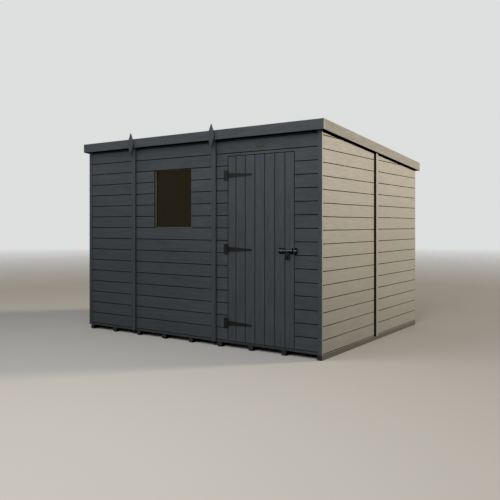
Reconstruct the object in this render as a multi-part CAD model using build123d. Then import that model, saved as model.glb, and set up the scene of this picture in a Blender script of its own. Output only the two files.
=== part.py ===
from build123d import *
import os

os.makedirs("parts", exist_ok=True)

# A pent garden shed, in millimetres. X runs to the right along the front, Y to the back, Z up.
# The origin is on the ground, under the middle of the walls.

# Overall sizes
shed_width = 3044.0  # across the side cladding
shed_length = 2400.0  # over the faces of the front and back trims
front_height = 2133.5  # ground to the top of the front fascia
back_height = 1949.5  # ground to the top of the back fascia
front_overhang = 45.0  # trim face to the outer face of the front fascia
back_overhang = 43.0
side_overhang = 40.0  # side cladding to the outer face of a side fascia

# Floor
bearer_height = 44.0
bearer_width = 50.0
bearer_count = 9
left_bearer_inset = 34.0  # the bearer at the left stands in from the corner
floor_thickness = 20.0

# Cladding, trims and frame
course_height = 122.0  # cover height of one cladding board
front_course_base = 71.5  # ground to the lowest of the front's board lines
cladding_thickness = 20.0
trim_thickness = 18.0
corner_trim_width = 41.0
left_trim_lap = 11.0  # how far the front left trim stands out past the side cladding
left_trim_thickness = 5.0
batten_width = 54.0
frame_depth = 44.0
post_width = 44.0
joint_post_width = 56.0  # the doubled post behind a joint between two panels
sole_height = 28.0
rail_height = 44.0
middle_rail_height = 980.0  # floor to the underside of the middle rails
window_panel_width = 1112.0  # first panel joint to the second
side_joint_y = -7.0  # joint between a side's two panels

# Window
window_width = 516.0
window_offset = 302.0  # first panel joint to the window's right edge
window_courses = 5
window_frame_width = 22.0
window_bead = 8.0  # how far the bead covers the pane's edge
pane_recess = 30.0
pane_thickness = 4.0

# Doorway and door
latch_pier_width = 288.0  # right corner to the doorway
doorway_width = 761.0
hinge_pier_width = 164.0  # doorway to the first panel joint
doorway_drop = 258.0  # front fascia's top to the doorway's top
door_side_gap = 7.0
door_top_gap = 7.0
door_bottom_gap = 6.0
door_board_thickness = 15.0
door_stop = 15.0  # how far the frame reaches in behind the door's edge
ledge_gap = 8.0
ledge_height = 100.0
ledge_thickness = 28.0
brace_width = 90.0

# Tee hinges
low_hinge_rise = 167.5  # door's bottom to the middle of the lowest hinge
top_hinge_drop = 184.0  # door's top to the middle of the highest hinge
hinge_plate_height = 104.0
hinge_plate_width = 41.0
hinge_metal = 3.0
strap_length = 284.0
strap_root_height = 48.0
strap_tip_height = 18.0
strap_metal = 4.0
pin_radius = 3.0
knuckle_radius = 6.0
pin_clearance = 0.3
knuckle_gap = 1.0  # between the knuckles along the pin
leaf_gap = 1.5  # between a knuckle and the flat of the other leaf

# Pad bolt
bolt_height = 898.5  # floor to the bar's middle
bolt_plate_length = 157.0
bolt_plate_rise = 10.0  # bar's middle to the plate's top
bolt_plate_drop = 31.0
bolt_plate_inset = 6.0  # door's free edge to the plate
bolt_bar_radius = 8.0
bolt_bar_length = 156.0
bolt_bar_inset = 6.0  # door's free edge to the tip of the drawn bar
bolt_clearance = 1.0
guide_thickness = 4.0
near_guide_length = 10.0
near_guide_inset = 2.0  # plate's end to the guide near the free edge
far_guide_length = 21.0
far_guide_inset = 83.0
keep_length = 30.0
keep_height = 56.0
hasp_knuckle_inset = 59.0  # door's free edge to the hasp's knuckle
hasp_knuckle_width = 14.0
hasp_knuckle_wall = 2.0
hasp_clearance = 0.3
hasp_plate_gap = 2.0  # bolt plate to the hasp's knuckle
hasp_width = 50.0
hasp_length = 81.0  # below the bar's middle
hasp_shoulder = 19.0  # bar's middle to the hasp's wide part
hasp_thickness = 4.0
hasp_hole_radius = 8.0
hasp_hole_side = 21.0  # hasp's left edge to the middle of its hole
hasp_hole_rise = 15.0

# Oval plate over the door
plaque_width = 103.0
plaque_height = 45.0
plaque_thickness = 4.0
plaque_rise = 85.0  # doorway's top to the plate's middle

# Roof
rafter_height = 63.0
rafter_width = 38.0
deck_thickness = 12.0
felt_thickness = 3.0
fascia_lip = 6.0  # how far the fascia stands above the felt
fascia_thickness = 20.0
front_fascia_height = 94.0
side_fascia_height = 95.0
fascia_joint_gap = 2.0
fascia_joint_offset = 75.0  # panel joint to the fascia's joint, beside the diamond
packing_height = 38.0
diamond_offset = 15.0  # panel joint to the diamond's middle
diamond_width = 90.0
diamond_height = 232.0
diamond_drop = 53.0  # fascia top to the diamond's middle
diamond_thickness = 16.0

# Places that follow from the sizes
right = shed_width / 2
left = -right
inner_right = right - cladding_thickness
inner_left = -inner_right
frame_right = inner_right - frame_depth
frame_left = -frame_right
front_trim_face = -shed_length / 2
back_trim_face = -front_trim_face
front_face = front_trim_face + trim_thickness
back_face = -front_face
front_inner = front_face + cladding_thickness
back_inner = -front_inner
front_frame = front_inner + frame_depth
back_frame = -front_frame
front_fascia_face = front_trim_face - front_overhang
back_fascia_face = back_trim_face + back_overhang
deck_front = front_fascia_face + fascia_thickness
deck_back = back_fascia_face - fascia_thickness
fascia_right_face = right + side_overhang
deck_right = fascia_right_face - fascia_thickness
floor_level = bearer_height + floor_thickness
slope = (front_height - back_height) / (back_fascia_face - front_fascia_face)

doorway_right = right - latch_pier_width
doorway_left = doorway_right - doorway_width
joint_1 = doorway_left - hinge_pier_width
joint_2 = joint_1 - window_panel_width
window_right = joint_1 - window_offset
window_left = window_right - window_width
doorway_top = front_height - doorway_drop
window_head_courses = int((doorway_top - front_course_base) / course_height)  # whole courses below it
window_top = front_course_base + window_head_courses * course_height
window_bottom = window_top - window_courses * course_height
door_right_edge = doorway_right - door_side_gap
door_left_edge = doorway_left + door_side_gap
door_top = doorway_top - door_top_gap
door_bottom = floor_level + door_bottom_gap
door_back = front_face + door_board_thickness
latch_post_edge = doorway_right - door_stop
hinge_post_edge = doorway_left + door_stop
pivot_x = doorway_left + door_side_gap / 2
pivot_y = front_face - knuckle_radius - knuckle_gap
low_hinge_z = door_bottom + low_hinge_rise
top_hinge_z = door_top - top_hinge_drop
hinge_levels = (low_hinge_z, (low_hinge_z + top_hinge_z) / 2, top_hinge_z)
bolt_z = floor_level + bolt_height
guide_bore = bolt_bar_radius + bolt_clearance
guide_radius = guide_bore + guide_thickness
hasp_bore = bolt_bar_radius + hasp_clearance
bolt_y = front_face - hinge_metal - hasp_plate_gap - hasp_knuckle_wall - hasp_bore


def fascia_top(y):
    """Height of the roof's top edge line at a place along Y."""
    return front_height - slope * (y - front_fascia_face)


def felt_top(y):
    return fascia_top(y) - fascia_lip


def deck_under(y):
    return felt_top(y) - felt_thickness - deck_thickness


def block(x0, x1, y0, y1, z0, z1):
    """A box between two corners."""
    middle = Pos((x0 + x1) / 2, (y0 + y1) / 2, (z0 + z1) / 2)
    return middle * Box(abs(x1 - x0), abs(y1 - y0), abs(z1 - z0))


def prism(x0, x1, outline):
    """An outline of (y, z) points, carried along X."""
    face = Face(Wire.make_polygon([(x0, y, z) for y, z in outline], close=True))
    return Solid.extrude(face, Vector(x1 - x0, 0, 0))


def sloped(x0, x1, y0, y1, bottom, top):
    """A piece between two heights, each a function of Y."""
    return prism(x0, x1, [(y0, bottom(y0)), (y1, bottom(y1)), (y1, top(y1)), (y0, top(y0))])


def under_deck(x0, x1, y0, y1, z0, drop=0.0):
    """An upright piece whose top is cut to the slope, a drop below the roof deck."""
    return sloped(x0, x1, y0, y1, lambda y: z0, lambda y: deck_under(y) - drop)


def rod(radius, length, x, y, z, along="Z"):
    """A cylinder centred on a point, along Z or X."""
    turned = Rotation(0, 90, 0) if along == "X" else Rotation(0, 0, 0)
    return Pos(x, y, z) * turned * Cylinder(radius, length)


def save(name, *solids):
    """Write one node, of one or more solids."""
    export_step(Compound(list(solids)), f"parts/{name}.step")


def make_floor():
    first = right - bearer_width / 2
    last = left + left_bearer_inset + bearer_width / 2
    pitch = (first - last) / (bearer_count - 1)
    centres = [first - index * pitch for index in range(bearer_count)]
    half = bearer_width / 2
    bearers = [block(x - half, x + half, front_trim_face, back_trim_face, 0, bearer_height) for x in centres]
    save("floor_bearers", *bearers)
    save("floor_deck", block(inner_left, inner_right, front_face, back_face, bearer_height, floor_level))


def front_cladding(x0, x1, z0):
    return under_deck(x0, x1, front_face, front_inner, z0)


def make_front_cladding():
    save("front_wall_left", front_cladding(inner_left, joint_2, floor_level))
    hole = block(window_left, window_right, front_face - 1, front_inner + 1, window_bottom, window_top)
    save("front_wall_window", front_cladding(joint_2, joint_1, floor_level) - hole)
    save("front_wall_hinge_side", front_cladding(joint_1, doorway_left, floor_level))
    save("front_wall_latch_side", front_cladding(doorway_right, inner_right, floor_level))
    save("front_wall_over_door", front_cladding(doorway_left, doorway_right, doorway_top))


def make_other_cladding():
    edges = [inner_left, joint_2, joint_1, inner_right]
    for name, x0, x1 in zip(("left", "middle", "right"), edges, edges[1:]):
        save(f"back_wall_{name}", under_deck(x0, x1, back_inner, back_face, floor_level))
    for side, x0, x1 in (("left", left, inner_left), ("right", inner_right, right)):
        save(f"{side}_wall_front", under_deck(x0, x1, front_face, side_joint_y, bearer_height))
        save(f"{side}_wall_back", under_deck(x0, x1, side_joint_y, back_face, bearer_height))


def plate_bottom(y_inner):
    """Level underside of a top plate whose sloped top carries the rafters."""
    return deck_under(y_inner) - rafter_height - rail_height


def long_wall_posts(y0, y1, centres, top):
    """Posts between the sole and the top plate of a front or back wall."""
    foot = floor_level + sole_height
    return [block(x - width / 2, x + width / 2, y0, y1, foot, top) for x, width in centres]


def make_front_frame():
    top = plate_bottom(front_frame)
    foot = floor_level + sole_height
    y0, y1 = front_inner, front_frame
    corner = inner_right - post_width / 2
    latch_post = latch_post_edge + post_width / 2
    hinge_post = hinge_post_edge - post_width / 2
    window_post_right = window_right + window_frame_width + post_width / 2
    window_post_left = window_left - window_frame_width - post_width / 2
    middle_left = (joint_2 + inner_left) / 2
    posts = [(corner, post_width), (latch_post, post_width), (hinge_post, post_width)]
    posts += [(joint_1, joint_post_width), (window_post_right, post_width), (window_post_left, post_width)]
    posts += [(joint_2, joint_post_width), (middle_left, post_width), (-corner, post_width)]
    save("front_posts", *long_wall_posts(y0, y1, posts, top))

    sole_right = block(latch_post_edge, inner_right, y0, y1, floor_level, foot)
    sole_left = block(inner_left, hinge_post_edge, y0, y1, floor_level, foot)
    plate = under_deck(inner_left, inner_right, y0, y1, top, drop=rafter_height)
    head_z = doorway_top - door_stop
    door_head = block(hinge_post_edge, latch_post_edge, y0, y1, head_z, head_z + rail_height)
    window_x0 = window_post_left + post_width / 2
    window_x1 = window_post_right - post_width / 2
    sill_top = window_bottom - window_frame_width
    sill = block(window_x0, window_x1, y0, y1, sill_top - rail_height, sill_top)
    head_bottom = window_top + window_frame_width
    head = block(window_x0, window_x1, y0, y1, head_bottom, head_bottom + rail_height)
    middle_z = floor_level + middle_rail_height
    spans = [(inner_left + post_width, middle_left - post_width / 2)]
    spans += [(middle_left + post_width / 2, joint_2 - joint_post_width / 2)]
    spans += [(joint_2 + joint_post_width / 2, window_post_left - post_width / 2)]
    spans += [(window_post_right + post_width / 2, joint_1 - joint_post_width / 2)]
    middles = [block(x0, x1, y0, y1, middle_z, middle_z + rail_height) for x0, x1 in spans]
    save("front_rails", sole_right, sole_left, plate, door_head, sill, head, *middles)


def make_back_frame():
    top = plate_bottom(back_inner)
    foot = floor_level + sole_height
    y0, y1 = back_frame, back_inner
    corner = inner_right - post_width / 2
    posts = [(corner, post_width), ((inner_right + joint_1) / 2, post_width), (joint_1, joint_post_width)]
    posts += [((joint_1 + joint_2) / 2, post_width), (joint_2, joint_post_width)]
    posts += [((joint_2 + inner_left) / 2, post_width), (-corner, post_width)]
    save("back_posts", *long_wall_posts(y0, y1, posts, top))

    sole = block(inner_left, inner_right, y0, y1, floor_level, foot)
    plate = under_deck(inner_left, inner_right, y0, y1, top, drop=rafter_height)
    middle_z = floor_level + middle_rail_height
    middles = []
    for (x1, w1), (x0, w0) in zip(posts, posts[1:]):
        middles.append(block(x0 + w0 / 2, x1 - w1 / 2, y0, y1, middle_z, middle_z + rail_height))
    save("back_rails", sole, plate, *middles)


def raking_rail_bottom(y):
    return deck_under(y) - rail_height


def make_side_frames():
    foot = floor_level + sole_height
    middle_z = floor_level + middle_rail_height
    posts = []
    rails = []
    studs = [((front_frame + side_joint_y) / 2, post_width), (side_joint_y, joint_post_width)]
    studs.append(((back_frame + side_joint_y) / 2, post_width))
    for x0, x1 in ((frame_right, inner_right), (inner_left, frame_left)):
        rails.append(block(x0, x1, front_frame, back_frame, floor_level, foot))
        rails.append(sloped(x0, x1, front_frame, back_frame, raking_rail_bottom, deck_under))
        for y, width in studs:
            posts.append(under_deck(x0, x1, y - width / 2, y + width / 2, foot, drop=rail_height))
        edges = [front_frame] + [y + s * w / 2 for y, w in studs for s in (-1, 1)] + [back_frame]
        for y0, y1 in zip(edges[::2], edges[1::2]):
            rails.append(block(x0, x1, y0, y1, middle_z, middle_z + rail_height))
    save("side_posts", *posts)
    save("side_rails", *rails)


def make_trims():
    """Corner trims and the battens over the panel joints, under the packing rails."""
    def strip(x0, x1, y0, y1):
        return under_deck(x0, x1, y0, y1, bearer_height, drop=packing_height)

    front = (front_trim_face, front_face)
    back = (back_face, back_trim_face)
    right_corner = (right - corner_trim_width, right)
    lapped = left - left_trim_lap
    thin_face = front_face - left_trim_thickness
    front_left = strip(lapped, lapped + corner_trim_width, thin_face, front_face)
    front_left += strip(lapped, left, thin_face, front_face + corner_trim_width)
    back_left = strip(left, left + corner_trim_width, *back)
    save("corner_trims", strip(*right_corner, *front), strip(*right_corner, *back), front_left, back_left)
    half = batten_width / 2
    for name, side in (("front", front), ("back", back)):
        save(f"{name}_cover_battens", *[strip(x - half, x + half, *side) for x in (joint_1, joint_2)])
    outer = right + trim_thickness
    span = (side_joint_y - half, side_joint_y + half)
    save("side_cover_battens", strip(right, outer, *span), strip(-outer, left, *span))


def make_window():
    width = window_frame_width
    outer = block(window_left - width, window_right + width, front_inner, front_frame,
                  window_bottom - width, window_top + width)
    bead = window_bead
    pane_front = front_face + pane_recess
    sight = block(window_left + bead, window_right - bead, front_inner - 1, pane_front,
                  window_bottom + bead, window_top - bead)
    rebate = block(window_left, window_right, pane_front, front_frame + 1, window_bottom, window_top)
    save("window_frame", outer - sight - rebate)
    save("window_pane", block(window_left, window_right, pane_front, pane_front + pane_thickness,
                              window_bottom, window_top))


def make_door_leaf():
    save("door_boards", block(door_left_edge, door_right_edge, front_face, door_back, door_bottom, door_top))
    x0 = hinge_post_edge + ledge_gap
    x1 = latch_post_edge - ledge_gap
    y0, y1 = door_back, door_back + ledge_thickness
    half = ledge_height / 2
    save("door_ledges", *[block(x0, x1, y0, y1, z - half, z + half) for z in hinge_levels])
    braces = []
    for low, high in zip(hinge_levels, hinge_levels[1:]):
        z0, z1 = low + half, high - half
        corners = [(x0, z0), (x0 + brace_width, z0), (x1, z1), (x1 - brace_width, z1)]
        face = Face(Wire.make_polygon([(x, y0, z) for x, z in corners], close=True))
        braces.append(Solid.extrude(face, Vector(0, y1 - y0, 0)))
    save("door_braces", *braces)


def make_hinges():
    """Three tee hinges: the plate and its pin on the wall, the strap on the door."""
    strap_knuckle = strap_root_height
    side_knuckle = (hinge_plate_height - strap_knuckle) / 2 - knuckle_gap
    flat_x = pivot_x - knuckle_radius - leaf_gap
    plate_back = front_face
    plate_front = front_face - hinge_metal
    plates = []
    straps = []
    half = hinge_plate_height / 2
    for z in hinge_levels:
        plate = block(flat_x - hinge_plate_width, flat_x, plate_front, plate_back, z - half, z + half)
        for side in (-1, 1):
            knuckle_z = z + side * (half - side_knuckle / 2)
            low, high = knuckle_z - side_knuckle / 2, knuckle_z + side_knuckle / 2
            plate += block(flat_x, pivot_x, plate_front - hinge_metal, plate_front, low, high)
            plate += block(flat_x - hinge_metal, flat_x, plate_front - hinge_metal, plate_front, low, high)
            plate += rod(knuckle_radius, side_knuckle, pivot_x, pivot_y, knuckle_z)
        plates.append(plate + rod(pin_radius, hinge_plate_height, pivot_x, pivot_y, z))

        root = pivot_x + knuckle_radius + leaf_gap
        tip = pivot_x + strap_length - strap_tip_height / 2
        outline = [(root, z - strap_root_height / 2), (tip, z - strap_tip_height / 2)]
        outline += [(tip, z + strap_tip_height / 2), (root, z + strap_root_height / 2)]
        face = Face(Wire.make_polygon([(x, front_face, w) for x, w in outline], close=True))
        strap = Solid.extrude(face, Vector(0, -strap_metal, 0))
        tip_disc = Rotation(90, 0, 0) * Cylinder(strap_tip_height / 2, strap_metal)
        strap += Pos(tip, front_face - strap_metal / 2, z) * tip_disc
        low, high = z - strap_knuckle / 2, z + strap_knuckle / 2
        neck_front = front_face - strap_metal
        strap += block(pivot_x, root, neck_front - hinge_metal, neck_front, low, high)
        strap += block(root, root + hinge_metal, neck_front - hinge_metal, neck_front, low, high)
        strap += rod(knuckle_radius, strap_knuckle, pivot_x, pivot_y, z)
        straps.append(strap - rod(pin_radius + pin_clearance, hinge_plate_height, pivot_x, pivot_y, z))
    save("hinge_plates", *plates)
    save("hinge_straps", *straps)


def guide(x0, x1):
    """A loop around the bolt bar, on a plate's face."""
    middle = (x0 + x1) / 2
    length = x1 - x0
    plate_front = front_face - hinge_metal
    body = block(x0, x1, bolt_y, plate_front, bolt_z - guide_radius, bolt_z + guide_radius)
    return body + rod(guide_radius, length, middle, bolt_y, bolt_z, along="X")


def bar_bore(x0, x1):
    return rod(guide_bore, x1 - x0 + 2, (x0 + x1) / 2, bolt_y, bolt_z, along="X")


def keep_loop(x0, x1):
    """A bent strip on the keep's plate, open at both ends for the bar."""
    plate_front = front_face - hinge_metal
    inner = bolt_y - guide_bore
    strip = block(x0, x1, inner - guide_thickness, plate_front, bolt_z - guide_radius, bolt_z + guide_radius)
    return strip - block(x0 - 1, x1 + 1, inner, plate_front, bolt_z - guide_bore, bolt_z + guide_bore)


def make_bolt():
    plate_front = front_face - hinge_metal
    plate_x1 = door_right_edge - bolt_plate_inset
    plate_x0 = plate_x1 - bolt_plate_length
    plate_z0, plate_z1 = bolt_z - bolt_plate_drop, bolt_z + bolt_plate_rise
    plate = block(plate_x0, plate_x1, plate_front, front_face, plate_z0, plate_z1)
    for inset, length in ((near_guide_inset, near_guide_length), (far_guide_inset, far_guide_length)):
        guide_x1 = plate_x1 - inset
        guide_x0 = guide_x1 - length
        plate = plate + guide(guide_x0, guide_x1) - bar_bore(guide_x0, guide_x1)
    save("bolt_plate", plate)

    half = keep_height / 2
    keep_x1 = doorway_right + keep_length
    keep = block(doorway_right, keep_x1, plate_front, front_face, bolt_z - half, bolt_z + half)
    save("bolt_keep", keep + keep_loop(doorway_right, keep_x1))

    tip = door_right_edge - bolt_bar_inset
    bar = rod(bolt_bar_radius, bolt_bar_length, tip - bolt_bar_length / 2, bolt_y, bolt_z, along="X")
    save("bolt_bar", bar)


def make_hasp():
    x1 = door_right_edge - hasp_knuckle_inset
    x0 = x1 - hasp_knuckle_width
    middle = (x0 + x1) / 2
    y0, y1 = bolt_y - hasp_thickness / 2, bolt_y + hasp_thickness / 2
    bottom = bolt_z - hasp_length
    shoulder = bolt_z - hasp_shoulder
    hasp = rod(hasp_bore + hasp_knuckle_wall, hasp_knuckle_width, middle, bolt_y, bolt_z, along="X")
    hasp += block(x0, x1, y0, y1, shoulder, bolt_z - hasp_bore)
    hasp += block(middle - hasp_width / 2, middle + hasp_width / 2, y0, y1, bottom, shoulder)
    hasp -= rod(hasp_bore, hasp_knuckle_width + 2, middle, bolt_y, bolt_z, along="X")
    hole_x = middle - hasp_width / 2 + hasp_hole_side
    hole = Rotation(90, 0, 0) * Cylinder(hasp_hole_radius, hasp_thickness + 2)
    save("hasp_tab", hasp - Pos(hole_x, bolt_y, bottom + hasp_hole_rise) * hole)


def make_plaque():
    middle_x = (doorway_left + doorway_right) / 2
    outline = Rotation(90, 0, 0) * Ellipse(plaque_width / 2, plaque_height / 2)
    place = Pos(middle_x, front_face, doorway_top + plaque_rise)
    save("oval_plate", extrude(place * outline, plaque_thickness, dir=(0, -1, 0)))


def make_roof():
    def beam(x0, x1):
        return sloped(x0, x1, front_inner, back_inner, lambda y: deck_under(y) - rafter_height, deck_under)

    half = rafter_width / 2
    edges = [inner_right, joint_1, joint_2, inner_left]
    middles = [(a + b) / 2 for a, b in zip(edges, edges[1:])] + [joint_1, joint_2]
    save("roof_rafters", *[beam(x - half, x + half) for x in middles])
    deck_left = -deck_right
    save("roof_deck", sloped(deck_left, deck_right, deck_front, deck_back, deck_under,
                             lambda y: deck_under(y) + deck_thickness))
    save("roof_felt", sloped(deck_left, deck_right, deck_front, deck_back,
                             lambda y: felt_top(y) - felt_thickness, felt_top))

    def packing(x0, x1, y0, y1):
        return sloped(x0, x1, y0, y1, lambda y: deck_under(y) - packing_height, deck_under)

    gap = fascia_joint_gap
    save("packing_rails", packing(deck_left, deck_right, deck_front, front_face),
         packing(deck_left, deck_right, back_face, deck_back),
         packing(right, deck_right, front_face + gap, back_face - gap),
         packing(deck_left, left, front_face + gap, back_face - gap))


def make_fascias():
    bottom = front_height - front_fascia_height
    joints = [joint + fascia_joint_offset for joint in (joint_2, joint_1)]
    gap = fascia_joint_gap / 2
    starts = [-fascia_right_face] + [x + gap for x in joints]
    ends = [x - gap for x in joints] + [fascia_right_face]
    front = [under_fascia_top(x0, x1, front_fascia_face, deck_front, bottom) for x0, x1 in zip(starts, ends)]
    save("fascia_front", *front)
    back_bottom = back_height - side_fascia_height
    save("fascia_back", under_fascia_top(-deck_right, deck_right, deck_back, back_fascia_face, back_bottom))
    for name, x0, x1 in (("left", -fascia_right_face, -deck_right), ("right", deck_right, fascia_right_face)):
        save(f"fascia_{name}", sloped(x0, x1, deck_front, back_fascia_face,
                                      lambda y: fascia_top(y) - side_fascia_height, fascia_top))


def under_fascia_top(x0, x1, y0, y1, z0):
    return sloped(x0, x1, y0, y1, lambda y: z0, fascia_top)


def make_diamonds():
    middle = front_height - diamond_drop
    diamonds = []
    for x in (joint_1 + diamond_offset, joint_2 + diamond_offset):
        corners = [(x - diamond_width / 2, middle), (x, middle - diamond_height / 2)]
        corners += [(x + diamond_width / 2, middle), (x, middle + diamond_height / 2)]
        face = Face(Wire.make_polygon([(cx, front_fascia_face, cz) for cx, cz in corners], close=True))
        diamonds.append(Solid.extrude(face, Vector(0, -diamond_thickness, 0)))
    save("fascia_diamonds", *diamonds)


make_floor()
make_front_cladding()
make_other_cladding()
make_front_frame()
make_back_frame()
make_side_frames()
make_trims()
make_window()
make_door_leaf()
make_hinges()
make_bolt()
make_hasp()
make_plaque()
make_roof()
make_fascias()
make_diamonds()
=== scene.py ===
import math
import random

import bmesh
import bpy
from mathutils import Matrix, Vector


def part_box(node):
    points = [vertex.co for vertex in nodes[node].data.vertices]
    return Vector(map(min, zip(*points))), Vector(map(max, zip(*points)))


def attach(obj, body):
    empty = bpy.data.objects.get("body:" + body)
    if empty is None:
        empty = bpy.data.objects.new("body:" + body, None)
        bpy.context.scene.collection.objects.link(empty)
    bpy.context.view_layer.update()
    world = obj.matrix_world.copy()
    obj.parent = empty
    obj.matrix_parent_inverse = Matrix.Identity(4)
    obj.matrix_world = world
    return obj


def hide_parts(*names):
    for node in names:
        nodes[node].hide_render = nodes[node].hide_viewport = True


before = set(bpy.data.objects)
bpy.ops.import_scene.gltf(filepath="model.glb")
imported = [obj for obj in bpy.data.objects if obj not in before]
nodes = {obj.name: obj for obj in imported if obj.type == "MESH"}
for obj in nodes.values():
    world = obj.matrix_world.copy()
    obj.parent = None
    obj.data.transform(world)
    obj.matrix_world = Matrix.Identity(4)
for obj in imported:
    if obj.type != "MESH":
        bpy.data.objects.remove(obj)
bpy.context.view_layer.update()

# Sizes in metres. X runs to the right along the front, Y to the back, Z up.
MM = 0.001

# Camera at the photograph's viewing place
CAMERA_PLACE = (4.036, -5.975, 1.2015)
CAMERA_TURN = 34.52  # degrees to the left of straight on
CAMERA_LENS = 43.77
CAMERA_SHIFT = -0.0504

# Wall boards
COURSE = 122 * MM
BOARD_THICKNESS = 20 * MM
LIP = 3.7 * MM  # course line up to the board's lower edge
FRONT_JOINT = 7.8 * MM  # height of the open joint between two boards
SIDE_JOINT = 5.6 * MM
JOINT_DEPTH = 11 * MM
JOINT_SCOOP = 3 * MM
TONGUE = 8 * MM
PLAY = 0.5 * MM  # between a tongue and the board over it
EASE = 1.2 * MM  # rounding of a board's edges
FRONT_BASE = 71.5 * MM  # ground to the lowest course line
SIDE_BASE = 53.5 * MM
EDGING_LINE = 8 * MM  # open line between the floor's edging and the lowest front board

# The course lines drift off their even places: (course, millimetres), evenly between two points
FRONT_DRIFT = ((0, 0), (1, -5), (9, 0.6), (17, 0.8))
SIDE_FRONT_DRIFT = ((0, 0), (9, 0.5), (16, -8.5), (17, -8.5))
SIDE_BACK_DRIFT = ((0, 0), (1, -2), (11, 4), (14, -1), (17, -1))

# Painted shade: black strips at the tops of the walls, just under the fascias
SHADE_STRIP_DROP = 12 * MM  # side fascia's lower edge down to the shade strip's
FRONT_SHADE_STRIP_DROP = 8 * MM
SHADE_STRIP_RISE = 16 * MM  # how far a shade strip runs up behind the fascia
SHADE_STRIP_THICKNESS = 1.5 * MM
SHADE_STRIP_END = 60 * MM  # from a corner trim's outer face
SIDE_SHADE_STRIP_END = 2 * MM

# Trims on the front, and the lines of painted shade down their left edges
CORNER_TRIM = 41 * MM
HALF_BATTEN = 27 * MM
SHADE_LINE_WIDTH = 1.8 * MM
SHADE_LINE_RELIEF = 0.4 * MM
SHADE_LINE_LAP = 0.5 * MM  # how far a line runs in under its trim
SHADE_LINE_FOOT = 70 * MM
SHADE_LINE_TOP = 38 * MM  # from the roof boards down

# Window
PANE_PLAY = 0.2 * MM
BEAD_HEIGHT = 8 * MM
BEAD_LAP = 9 * MM
WINDOW_SHADE_STRIP = 8 * MM

# Door boards. The two at the edges are narrower, and the five between share the rest.
LATCH_BOARD = 97.5 * MM
HINGE_BOARD = 93 * MM
MIDDLE_BOARDS = 5
DOOR_V_WIDTH = 5.0 * MM
DOOR_V_DEPTH = 3.4 * MM
DOOR_V_GAP = 1.0 * MM
DOOR_EDGE = 1.2 * MM
DOOR_BACK_CORNER = 2 * MM

# Floor and roof
FLOOR_BOARD = 96 * MM
FLOOR_EDGING = 12 * MM
FLOOR_EASE = 1.0 * MM
DECK_THICKNESS = 12 * MM
ROOF_BOARD = 118 * MM
ROOF_EASE = 2.0 * MM
NARROWEST = 1 * MM  # no board is laid in a rest that is narrower
FELT_SHEET = 2.4 * MM
FELT_STRIPS = 3
FELT_LAP = 75 * MM
FELT_GRID = (72, 10)  # faces across and down each strip

# Hinges, and inner and outer radii on the bolt
HINGE_PLATE = 104 * MM
PLATE_SCREWS = (-0.4, -0.16, 0.16, 0.4)  # shares of a plate's height, from its middle
STRAP_SCREWS = ((42, 12), (42, -12), (110, 0), (190, 0), (264, 0))  # millimetres along and up
LOOP_RADII = (8.7 * MM, 11.2 * MM)
COLLAR_RADII = (8.6 * MM, 12 * MM)

# Radius and height of nail and screw heads, with the share of the height that a socket goes down
HINGE_SCREW = (4.2 * MM, 1.8 * MM, 0.7)
BOLT_SCREW = (3.6 * MM, 1.6 * MM, 0.7)
KEEP_SCREW = (4 * MM, 1.6 * MM, 0.7)
OVAL_SCREW = (2.4 * MM, 1.2 * MM, 0.6)
NAIL = (2.6 * MM, 0.5 * MM)
CLOUT = (5 * MM, 1.1 * MM)
CLOUT_EDGE = 18 * MM
NAIL_HEIGHTS = [0.14 + 0.295 * index for index in range(7)]
BACK_NAIL_TOP = 1.85
AHEAD = (0, -1, 0)
BEHIND = (0, 1, 0)
UPWARD = (0, 0, 1)

# Points round small heads, tubes and the oval plate, and angles between faces
HEAD_SEGMENTS = 12
TUBE_SEGMENTS = 28
OVAL_SEGMENTS = 56
FLAT_ANGLE = math.radians(1)
SHARP_ANGLE = math.radians(30)
SMOOTH_ANGLE = math.radians(40)


def srgb(red, green, blue):
    """Linear colour from 0-255 display values."""
    def linear(value):
        value /= 255
        return value / 12.92 if value <= 0.04045 else ((value + 0.055) / 1.055) ** 2.4
    return (linear(red), linear(green), linear(blue), 1.0)


# Materials

def fill(tree, node, values):
    """Gives each named input its constant, or links it to the socket given."""
    for key, value in values.items():
        if isinstance(value, bpy.types.NodeSocket):
            tree.links.new(value, node.inputs[key])
        else:
            node.inputs[key].default_value = value


def add(tree, kind, values=None, **settings):
    node = tree.nodes.new("ShaderNode" + kind)
    for key, value in settings.items():
        setattr(node, key, value)
    fill(tree, node, values or {})
    return node


def new_material(name):
    material = bpy.data.materials.new(name)
    material.use_nodes = True
    tree = material.node_tree
    return material, tree, tree.nodes["Principled BSDF"]


def place_coordinates(tree, scale, tilt):
    """Object coordinates in metres, stretched, and turned about X by tilt."""
    place = add(tree, "TexCoord").outputs["Object"]
    turned = add(tree, "Mapping", {"Vector": place, "Rotation": (tilt, 0, 0)}, vector_type="POINT")
    return add(tree, "Mapping", {"Vector": turned.outputs["Vector"], "Scale": scale}).outputs["Vector"]


def noise(tree, scale, detail, roughness=0.55, distortion=0.0, tilt=0.0):
    values = {"Vector": place_coordinates(tree, scale, tilt), "Scale": 1.0, "Detail": detail}
    values.update({"Roughness": roughness, "Distortion": distortion})
    return add(tree, "TexNoise", values).outputs["Fac"]


def object_place(tree):
    """Sockets for the object's own X, Y and Z, in metres."""
    return add(tree, "SeparateXYZ", {"Vector": add(tree, "TexCoord").outputs["Object"]}).outputs


def maths(tree, operation, first, second, clamp=False):
    values = {0: first, 1: second}
    return add(tree, "Math", values, operation=operation, use_clamp=clamp).outputs["Value"]


def weighted(tree, terms, start):
    """start + the sum of weight * (value - 0.5)."""
    for value, weight in terms:
        part = maths(tree, "MULTIPLY", maths(tree, "SUBTRACT", value, 0.5), weight)
        start = maths(tree, "ADD", part, start)
    return start


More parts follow.
